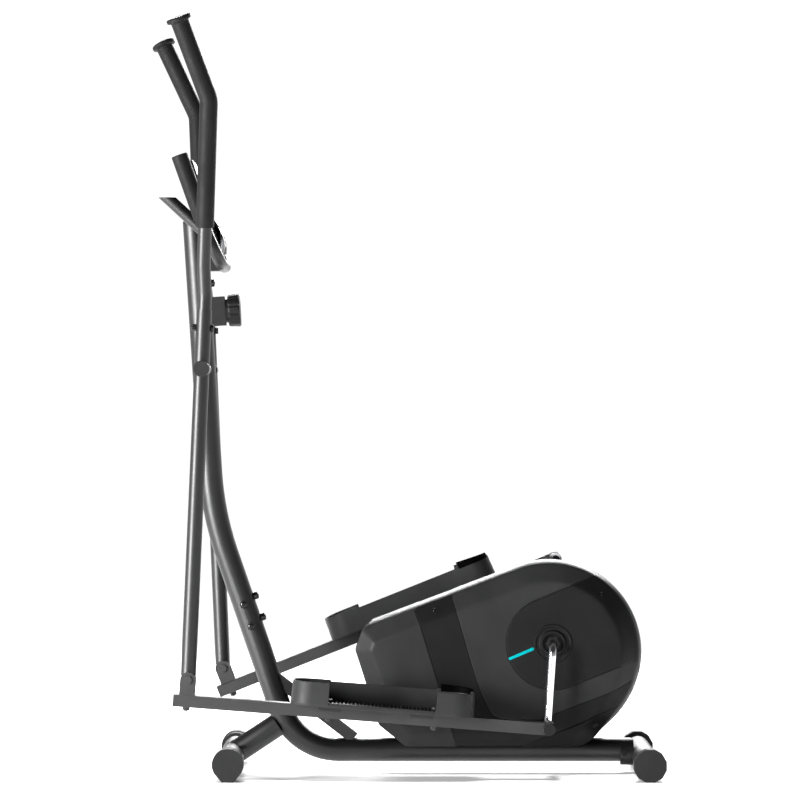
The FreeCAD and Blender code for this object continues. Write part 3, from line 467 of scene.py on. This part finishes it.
# Seams as (x, z) lines: nose to middle, middle to rear, rear to middle low down, and middle to heel.
SEAM_A = [(7.7, 345.3), (19.0, 315.8), (55.3, 198.0), (96.0, 58.5)]
SEAM_B = [(82.5, 388.3), (96.1, 345.3), (114.0, 283.0), (132.3, 220.7), (150.4, 166.3), (164.0, 139.1),
          (172.0, 127.5), (184.0, 120.0), (200.0, 117.0)]
LOW_BAND = [(272.0, 117.0), (300.0, 127.8), (424.6, 175.3), (470.0, 197.1)]
BOTTOM_SEAM = [(236.6, 58.5), (445.0, 139.1)]
# The round crank cover, and the slope of the swept band that runs from it to the rear rim.
DISC_MIDDLE, DISC_R, BAND_ANGLE, DISC_STEPS = np.array([299.6, 277.5]), 98.0, 22.0, 60


def disc_outline():
    """The round crank cover's open outline, from the upper tangent's end round to the lower one's."""
    turn = math.radians(BAND_ANGLE)
    along = np.array([math.cos(turn), math.sin(turn)])
    across = np.array([-math.sin(turn), math.cos(turn)])
    ends = []
    for sign in (1, -1):
        start = DISC_MIDDLE + across * DISC_R * sign
        reach = 0.0
        while depth_inside((start + along * (reach + 1.0))[None])[0] > 0.0:
            reach += 1.0
        ends.append(start + along * reach)
    arc = []
    for k in range(DISC_STEPS + 1):
        angle = turn + math.pi / 2 + math.pi * k / DISC_STEPS
        arc.append(DISC_MIDDLE + DISC_R * np.array([math.cos(angle), math.sin(angle)]))
    return [ends[0]] + arc + [ends[1]]


def reach_rim(points, from_end=True):
    """Moves a polyline's last (or first) point onto the nearest rim sample."""
    points = [np.array(p, float) for p in points]
    i = -1 if from_end else 0
    points[i] = RIM[nearest_rim(points[i])]
    return points


def housing():
    """Both sides of the cover: a liner that closes the shell, and the panels on it."""
    seam_a = reach_rim(reach_rim(SEAM_A), False)
    seam_b = reach_rim(SEAM_B, False)
    low_band = reach_rim(LOW_BAND)
    bottom = reach_rim(reach_rim(BOTTOM_SEAM), False)
    disc = reach_rim(reach_rim(disc_outline()), False)
    # Two neighbouring points, so this run goes all the way round.
    whole_rim = [("rim", (293.0, 440.0), (294.5, 440.0))]
    nose = [("seam", seam_a[::-1]), ("rim", seam_a[0], seam_a[-1])]
    middle = [("seam", seam_a), ("rim", seam_a[-1], bottom[0]), ("seam", bottom),
              ("rim", bottom[-1], low_band[-1]), ("seam", low_band[::-1] + seam_b[::-1]),
              ("rim", seam_b[0], seam_a[0])]
    rear = [("seam", seam_b + low_band), ("rim", low_band[-1], disc[-1]), ("seam", disc[::-1]),
            ("rim", disc[0], seam_b[0])]
    heel = [("seam", bottom[::-1]), ("rim", bottom[0], bottom[-1])]
    crank_cover = [("seam", disc), ("rim", disc[-1], disc[0])]
    for side, word in SIDES:
        regions = (
            ("cover_liner_", whole_rim, LINER_LIFT, "shroud_plastic", None, ("shroud_" + word,)),
            ("cover_nose_", nose, NOSE_LIFT, "panel_plastic", None, ("side_panels_" + word,)),
            ("cover_middle_", middle, MIDDLE_LIFT, "shroud_plastic", MIDDLE_PLASTIC, ()),
            ("cover_rear_", rear, REAR_LIFT, "panel_plastic", None, ()),
            ("cover_heel_", heel, HEEL_LIFT, "shroud_plastic", HEEL_PLASTIC, ()),
            ("disc_cover_", crank_cover, DISC_LIFT, "disc_plastic", None, ()),
        )
        for name, runs, lift, slot, material, nodes in regions:
            bm = cover_region(side, runs, lift)
            if name != "cover_liner_":
                add_skirt(bm)
            add_piece(name + word, bm, "frame", slot, material, nodes, smooth=28.0)


def crank_boss():
    """The two raised rings round the crank."""
    for side, word in SIDES:
        def place(a, b, height):
            return (CRANK.x + a, side * height, CRANK.z + b)
        bm = bmesh.new()
        # (radius, distance from the centre plane)
        profile = [(41.5, 80.0), (41.0, 82.2), (39.8, 83.6), (37.8, 84.0), (35.6, 83.4), (34.2, 81.9),
                   (29.6, 81.9), (28.2, 83.0), (27.2, 86.4), (26.2, 87.6), (24.2, 88.0), (21.6, 87.4),
                   (20.4, 85.6), (20.2, 76.0)]
        lathe(bm, profile, place, 96)
        add_piece("crank_boss_" + word, bm, "frame", "disc_plastic", nodes=("disc_cover_" + word,))


def accent_bars():
    """The coloured bar with rounded ends on each crank cover."""
    start, end, radius = np.array([209.4, 245.6]), np.array([256.9, 266.0]), 3.0
    length = np.linalg.norm(end - start)
    along = (end - start) / length
    across = np.array([-along[1], along[0]])
    outline = []
    for centre, first in ((end, -90), (start, 90)):
        for k in range(9):
            angle = math.radians(first + 180 * k / 8)
            outline.append(centre + radius * (along * math.cos(angle) + across * math.sin(angle)))
    base = float(cover_height(np.array([start]), DISC_LIFT)[0])
    for side, word in SIDES:
        bm = bmesh.new()
        loops = []
        for shrink, y in ((1.0, base - 1.0), (1.0, base + 0.5), (0.9, base + 0.85), (0.75, base + 0.95)):
            ring = []
            for p in outline:
                core = start + along * np.clip((p - start) @ along, 0, length)
                q = core + (p - core) * shrink
                ring.append((q[0] + SHIFT, side * y, q[1]))
            loops.append(add_loop(bm, ring))
        for first, second in zip(loops, loops[1:]):
            bridge(bm, first, second)
        bm.faces.new(loops[-1])
        add_piece("accent_bar_" + word, bm, "frame", "disc_plastic", ACCENT)


def cover_screws():
    """Countersunk cross-head screws that hold the covers together."""
    places = ((48.5, 347.6, MIDDLE_LIFT), (402.0, 381.5, DISC_LIFT), (-46.7, 104.2, NOSE_LIFT),
              (389.7, 102.8, HEEL_LIFT))
    profile = [(4.6, -1.0), (4.6, 0.35), (4.1, 0.5), (3.7, 0.2), (3.3, -0.4), (2.1, 0.5), (1.6, 0.5),
               (1.3, -0.9)]
    step = 2.0                    # half the span over which the surface's slope is read
    for side, word in SIDES:
        bm = bmesh.new()
        for x, z, lift in places:
            grid = np.array([[x - step, z], [x + step, z], [x, z - step], [x, z + step]])
            a, b, c, d = cover_height(grid, lift)
            normal = Vector((-(b - a) / (2 * step), 1.0, -(d - c) / (2 * step))).normalized()
            normal.y *= side
            seat = float(cover_height(np.array([[x, z]]), lift)[0])
            middle = Vector((x + SHIFT, side * seat, z))
            loops = lathe(bm, profile, outward_place(middle, normal), 24)
            bm.faces.new(loops[-1])
        add_piece("cover_screws_" + word, bm, "frame", "shroud_plastic", SCREW)


# ---- Foot pedals --------------------------------------------------------------------------
# From the hinge pin to the crank pin, the drop from that line to the tube's middle, half the tube's height.
ARM_LINK, ARM_RISE, ARM_HALF = 758.9, 44.7, 12.5
PEDAL_LONG, PEDAL_IN, PEDAL_OUT, PEDAL_R, PEDAL_HIGH = 383.0, 128.0, 262.0, 46.0, 50.0
PEDAL_MIDDLE = (PEDAL_IN + PEDAL_OUT) / 2
GATE, GATE_HIGH = 112.0, 9.5      # half length and height of the low part of the outer wall
GATE_EDGES = (-112.6, -111.4, 111.4, 112.6)   # where the outline needs points for the wall's step
FLOOR = 6.0                       # thickness of the pedal's floor
CORNER_STEPS, OUTLINE_STEP = 28, 8.0


def arm_frame(side, word):
    """Maps the arm's own axes (along, across, up), in millimetres, into the frame."""
    pin = joint_place(word + "_arm_pitch")
    crank_pin = node_middle("crank_pin_" + word)
    run = math.sqrt(ARM_LINK ** 2 - ARM_RISE ** 2)
    slope = math.atan2(crank_pin.z - pin.z, crank_pin.x - pin.x) + math.atan2(ARM_RISE, run)
    along = Vector((math.cos(slope), 0, math.sin(slope)))
    up = Vector((-math.sin(slope), 0, math.cos(slope)))

    def place(u, v, w):
        return Vector((pin.x, 0, pin.z)) + along * u + up * w + Vector((0, side * v, 0))
    return place, along, pin


def pedal_outline(grow):
    """The pedal's plan outline about its middle, as (along, across) pairs."""
    half_long, half_wide = PEDAL_LONG / 2 + grow, (PEDAL_OUT - PEDAL_IN) / 2 + grow
    r = PEDAL_R + grow
    points = []
    for sx, sy, first in ((1, 1, 0), (-1, 1, 90), (-1, -1, 180), (1, -1, 270)):
        for k in range(CORNER_STEPS + 1):
            angle = math.radians(first + 90.0 * k / CORNER_STEPS)
            points.append((sx * (half_long - r) + r * math.cos(angle),
                           PEDAL_MIDDLE + sy * (half_wide - r) + r * math.sin(angle)))
    dense = []
    for a, b in zip(points, points[1:] + points[:1]):
        length = math.hypot(b[0] - a[0], b[1] - a[1])
        steps = max(1, int(length / OUTLINE_STEP))
        shares = [k / steps for k in range(steps)]
        if length > 2 * GATE:
            shares += [(edge - a[0]) / (b[0] - a[0]) for edge in GATE_EDGES]
        dense += [(a[0] + (b[0] - a[0]) * t, a[1] + (b[1] - a[1]) * t) for t in sorted(shares)]
    return dense


def wall_height(u, v):
    """Height of the pedal's wall: tall end caps, a low gate outside, nearly full inside."""
    ends = float(ramp(np.array(abs(u)), GATE - 0.5, GATE + 0.5))
    if v > PEDAL_MIDDLE:
        return GATE_HIGH + (PEDAL_HIGH - GATE_HIGH) * ends
    return PEDAL_HIGH - 3.0 + 3.0 * ends


def foot_pedals():
    """The two trays with their treads, heel bumpers and brackets."""
    # (growth of the outline, share of the wall's height), from the outer foot over the top to the inside.
    rings = ((-3.4, 0.0), (-1.4, 0.0), (-0.3, 0.05), (0.0, 0.14), (-1.6, 0.93), (-1.9, 0.985), (-2.7, 1.0),
             (-4.3, 1.0), (-5.2, 0.985), (-5.5, 0.93), (-6.4, 0.14))
    plan = pedal_outline(0.0)
    for side, word in SIDES:
        arm_place, along, pin = arm_frame(side, word)
        middle_u = (node_middle("foot_pedal_" + word) - Vector((pin.x, 0, pin.z))).dot(along)
        floor_w = -ARM_RISE + ARM_HALF + 0.2

        def place(u, v, w):
            return arm_place(middle_u + u, v, floor_w + w)
        bm = bmesh.new()
        loops = []
        for grow, share in rings:
            loop = []
            for (u, v), (u0, v0) in zip(pedal_outline(grow), plan):
                loop.append(place(u, v, share * wall_height(u0, v0)))
            loops.append(add_loop(bm, loop))
        for first, second in zip(loops, loops[1:]):
            bridge(bm, first, second)
        bm.faces.new(loops[0][::-1])
        floor = add_loop(bm, [place(u, v, FLOOR) for u, v in pedal_outline(-6.0)])
        bridge(bm, loops[-1], floor)
        bm.faces.new(floor)
        add_piece("foot_pedal_" + word, bm, word + "_arm", "pedal_plastic", nodes=("foot_pedal_" + word,),
                  smooth=40)
        pedal_tread(word, place)
        heel_bumper(word, place)
        pedal_brackets(word, place)


def pedal_tread(word, place):
    """Cross ribs on the pedal's floor, every fifth one taller."""
    bm = bmesh.new()
    pitch, margin, end_inset = 8.0, 14.0, 0.8
    for i in range(-19, 20):
        u = i * pitch
        trim = margin + max(0.0, abs(u) - 135.0) * 0.9
        tall = 2.4 if i % 5 else 3.4
        top = FLOOR + tall
        corners = [(u - 2.0, FLOOR - 0.4), (u - 1.4, top - 0.7), (u - 0.8, top), (u + 0.8, top),
                   (u + 1.4, top - 0.7), (u + 2.0, FLOOR - 0.4)]
        insets = [0 if w < FLOOR + 1.0 else end_inset for _, w in corners]
        add_prism(bm, [place(a, PEDAL_IN + trim + inset, w) for (a, w), inset in zip(corners, insets)],
                  [place(a, PEDAL_OUT - trim - inset, w) for (a, w), inset in zip(corners, insets)])
    add_piece("pedal_tread_" + word, bm, word + "_arm", "pedal_plastic", smooth=30)


def heel_bumper(word, place):
    """The rubber on the rim's inner rear corner."""
    bm = bmesh.new()
    plan = [p for p in pedal_outline(-2.0) if 119.0 < p[0] < 187.0 and p[1] < PEDAL_IN + 40.0]
    plan.sort(key=lambda p: math.atan2(p[1] - PEDAL_MIDDLE, p[0]))
    foot = PEDAL_HIGH - 6.0
    loops = []
    for (u, v), follower in zip(plan, plan[1:]):
        if (u, v) == follower:
            continue
        inward = Vector((-(u - 100.0), PEDAL_MIDDLE - v)).normalized()
        top = PEDAL_HIGH + 10.0 - (u - 112.0) * 0.06
        section = ((-1.9, foot), (-1.9, top - 1.0), (-1.0, top), (4.0, top), (5.0, top - 1.0), (5.0, foot))
        loops.append(add_loop(bm, [place(u + inward.x * a, v + inward.y * a, w) for a, w in section]))
    for first, second in zip(loops, loops[1:]):
        bridge(bm, first, second)
    bm.faces.new(loops[0])
    bm.faces.new(loops[-1][::-1])
    add_piece("heel_bumper_" + word, bm, word + "_arm", "pedal_plastic", RUBBER)


def pedal_brackets(word, place):
    """Plates on both sides of the arm's tube, under the pedal."""
    bm = bmesh.new()
    thickness = 3.0
    for u in (-110.0, 82.0):
        corners = [(u - 25, 0.0), (u + 27, 0.0), (u + 24, -10.5), (u - 22, -10.5)]
        for dv in (-23.5, 20.4):
            v = PEDAL_MIDDLE + dv
            add_prism(bm, [place(a, v, w) for a, w in corners],
                      [place(a, v + thickness, w) for a, w in corners])
    add_piece("pedal_bracket_" + word, bm, word + "_arm", "pedal_plastic", smooth=30)


# ---- Foam, knob, console and bolts --------------------------------------------------------
FOAM_VOXEL = 0.0016               # metres, as the CAD meshes are


def foam_pieces():
    """Foam sleeves taken from the CAD shape, remeshed so that their ends are soft."""
    for name, body in (("hand_grip_left", "left_handle"), ("hand_grip_right", "right_handle"),
                       ("fixed_grips", "frame")):
        piece = frame["nodes"][name].copy()
        piece.data = frame["nodes"][name].data.copy()
        piece.name = name + "_foam"
        for key in list(piece.keys()):
            del piece[key]
        bpy.context.scene.collection.objects.link(piece)
        mesh = remeshed(piece)
        piece.data = mesh
        mesh.materials.clear()
        mesh.materials.append(MATERIALS["foam"])
        mesh.shade_smooth()
        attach(piece, body)
        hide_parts(name)


def remeshed(piece):
    """A copy of a piece's mesh, rebuilt from small cubes and smoothed."""
    remesh = piece.modifiers.new("remesh", "REMESH")
    remesh.mode = "VOXEL"
    remesh.voxel_size = FOAM_VOXEL
    smooth = piece.modifiers.new("smooth", "SMOOTH")
    smooth.factor = 0.5
    smooth.iterations = 5
    result = piece.evaluated_get(bpy.context.evaluated_depsgraph_get())
    mesh = bpy.data.meshes.new_from_object(result)
    piece.modifiers.clear()
    return mesh


def tension_knob():
    """A lobed knob with a flat face and a soft rim, and the mark on its face."""
    axis = Vector(JOINTS["knob_turn"]["axis"]).normalized()
    hinge = joint_place("knob_turn")
    place = outward_place(hinge + axis * (node_middle("tension_knob") - hinge).dot(axis), axis)

    def lobes(angle, radius, height):
        on_side = radius >= 29.0 and height <= 14.5
        return -2.4 * max(0.0, math.cos(angle * 11.0)) ** 3 if on_side else 0.0
    profile = [(8.0, -15.6), (25.5, -15.6), (25.5, -10.6), (30.6, -10.4), (32.8, -9.6), (33.4, -8.4),
               (33.8, -3.0), (34.3, 4.0), (34.9, 11.0), (34.9, 12.6), (34.2, 14.6), (32.6, 15.5),
               (29.0, 15.7), (26.0, 14.9), (12.0, 14.7)]
    bm = bmesh.new()
    loops = lathe(bm, profile, place, 224, lobes)
    bm.faces.new(loops[0][::-1])
    bm.faces.new(loops[-1])
    add_piece("tension_knob", bm, "knob", "knob_plastic", nodes=("tension_knob",), smooth=32)
    bm = bmesh.new()
    mark = [(-1.2, 16.0), (1.2, 16.0), (0.7, 28.0), (-0.7, 28.0)]
    foot = add_loop(bm, [place(a, b, 14.0) for a, b in mark])
    top = add_loop(bm, [place(a, b, 15.2) for a, b in mark])
    bridge(bm, foot, top)
    bm.faces.new(top)
    add_piece("knob_mark", bm, "knob", "knob_plastic", SILVER_TRIM, smooth=30)


def console():
    """The tablet rest and the display head under it, open in front where the keys move in."""
    def block(name, outline, y0, y1, radius, material=None, nodes=()):
        bm = rounded_prism(outline, y0, y1, radius)
        add_piece(name, bm, "frame", "console_plastic", material, nodes)
    rest = [(-471, 1295), (-461, 1299), (-421, 1175.5), (-431.5, 1170)]
    block("tablet_rest", rest, -95, 95, 2.2, nodes=("console_housing",))
    head = [(-431, 1170), (-421, 1175), (-407, 1156.5), (-399.6, 1141), (-402, 1115), (-402, 1100),
            (-403, 1097.5), (-405.5, 1099), (-405.5, 1147.5), (-431, 1147.5)]
    block("display_head", head, -66, 66, 1.2)
    cheek = [(-399.6, 1141), (-398.5, 1140), (-395.3, 1128), (-394.2, 1118), (-395.0, 1110), (-398, 1101),
             (-401, 1097.5), (-402, 1100), (-402, 1115)]
    for name, y0, y1 in (("left", -66, -41), ("right", 41, 66)):
        block("head_cheek_" + name, cheek, y0, y1, 0.5, SILVER_TRIM)
    chin = [(-401.9, 1117.4), (-394.6, 1117.4), (-394.6, 1111), (-397.6, 1101), (-401, 1097.8),
            (-401.9, 1100)]
    for name, y0, y1 in (("left", -41, -29), ("middle", -15, 15), ("right", 29, 41)):
        block("head_chin_" + name, chin, y0, y1, 0.4)


MAST_R = 25.0
# A point (x, z) on each of the mast's two slopes, and how many degrees it leans forward.
LOWER_MAST, UPPER_MAST = (-258.9, 136.3, 19.0), (-401.0, 549.0, 3.7)


def mast_bolts():
    """Seats and outward directions of the mast's bolts: two on its left, two behind, one at its neck."""
    seats = []
    places = ((LOWER_MAST, 311.0, False), (LOWER_MAST, 357.0, False), (LOWER_MAST, 321.0, True),
              (LOWER_MAST, 366.0, True), (UPPER_MAST, 1039.0, True))
    for slope, z, behind in places:
        lean = math.radians(slope[2])
        outward = Vector((math.cos(lean), 0, math.sin(lean))) if behind else Vector((0, -1, 0))
        middle = Vector((slope[0] - (z - slope[1]) * math.tan(lean), 0, z))
        seats.append((middle + outward * MAST_R, outward))
    return seats


def bolt_domes():
    """Domed heads with a socket, over the plain bolts of the mast."""
    profile = [(6.0, 0.3), (8.3, 0.3), (8.5, 4.4), (8.3, 6.0), (7.6, 7.8), (6.2, 9.2), (4.4, 10.0),
               (3.2, 10.2), (3.0, 9.9), (2.9, 9.2)]
    bm = bmesh.new()
    for seat, outward in mast_bolts():
        lathe(bm, profile, outward_place(seat, outward), 40)
    add_piece("bolt_domes", bm, "frame", "black_steel", SCREW)


# ---- Floor, light and camera --------------------------------------------------------------
def studio():
    """A white floor under a dome: bright at the horizon behind the machine, dim in front and above."""
    world = bpy.data.worlds.new("studio")
    bpy.context.scene.world = world
    world.use_nodes = True
    tree = world.node_tree
    back = tree.nodes["Background"]
    coords = tree.nodes.new("ShaderNodeTexCoord").outputs["Generated"]
    split = tree.nodes.new("ShaderNodeSeparateXYZ")
    link(tree, coords, split.inputs[0])
    across = spread(tree, split.outputs["Y"], 0.36, 1.06, -0.35, 0.2)
    above = spread(tree, split.outputs["Z"], 1.0, 0.12, 0.13, 0.5)
    product = tree.nodes.new("ShaderNodeMath")
    product.operation = "MULTIPLY"
    link(tree, across, product.inputs[0])
    link(tree, above, product.inputs[1])
    link(tree, product.outputs["Value"], back.inputs["Strength"])
    back.inputs["Color"].default_value = (1, 1, 1, 1)
    mesh = bpy.data.meshes.new("floor")
    half = 30.0
    corners = [(-half, -half, 0), (half, -half, 0), (half, half, 0), (-half, half, 0)]
    mesh.from_pydata(corners, [], [(0, 1, 2, 3)])
    floor = bpy.data.objects.new("floor", mesh)
    bpy.context.scene.collection.objects.link(floor)
    mesh.materials.append(surface("floor", (0.9, 0.9, 0.9), 0.6, grain=60, depth=0.05, mottle=0.01))
    shader = mesh.materials[0].node_tree.nodes["Principled BSDF"]
    shader.inputs["Emission Color"].default_value = (1, 1, 1, 1)
    shader.inputs["Emission Strength"].default_value = 0.06


def softbox(name, place, target, size, power):
    data = bpy.data.lights.new(name, "AREA")
    data.shape = "RECTANGLE"
    data.size, data.size_y = size
    data.energy = power
    lamp = bpy.data.objects.new(name, data)
    bpy.context.scene.collection.objects.link(lamp)
    lamp.location = place
    lamp.visible_camera = False
    lamp.rotation_euler = (Vector(target) - Vector(place)).to_track_quat("-Z", "Y").to_euler()


def overhead(strength, angle, lean_x, lean_y):
    """Light from above that falls on the floor, where the machine shades it."""
    data = bpy.data.lights.new("overhead", "SUN")
    data.energy = strength
    data.angle = math.radians(angle)
    lamp = bpy.data.objects.new("overhead", data)
    bpy.context.scene.collection.objects.link(lamp)
    lamp.rotation_euler = (math.radians(lean_x), math.radians(lean_y), 0)
    lit = bpy.data.collections.new("lit_from_above")
    lit.objects.link(bpy.data.objects["floor"])
    lamp.light_linking.receiver_collection = lit


def camera():
    """Level camera on the user's left, a long way off, as high as the middle of the machine."""
    data = bpy.data.cameras.new("camera")
    eye = bpy.data.objects.new("camera", data)
    bpy.context.scene.collection.objects.link(eye)
    distance, framed = 9.3, 1.704
    data.lens = data.sensor_width * distance / framed
    data.clip_end = 100.0
    eye.location = (-0.0034, -distance, 0.7917)
    eye.rotation_euler = (math.radians(90), 0, 0)
    bpy.context.scene.camera = eye


paint_cad_nodes()
housing()
crank_boss()
accent_bars()
cover_screws()
foot_pedals()
foam_pieces()
tension_knob()
console()
bolt_domes()
studio()
overhead(3.2, 14.0, 5.0, -6.0)
softbox("strip", (-4.0, -3.0, 1.05), (-0.3, 0, 0.8), (1.1, 2.1), 500)
softbox("back", (0.3, 3.4, 2.3), (0, 0, 0.4), (3.2, 0.9), 340)
camera()
bpy.context.scene.view_settings.view_transform = "Standard"
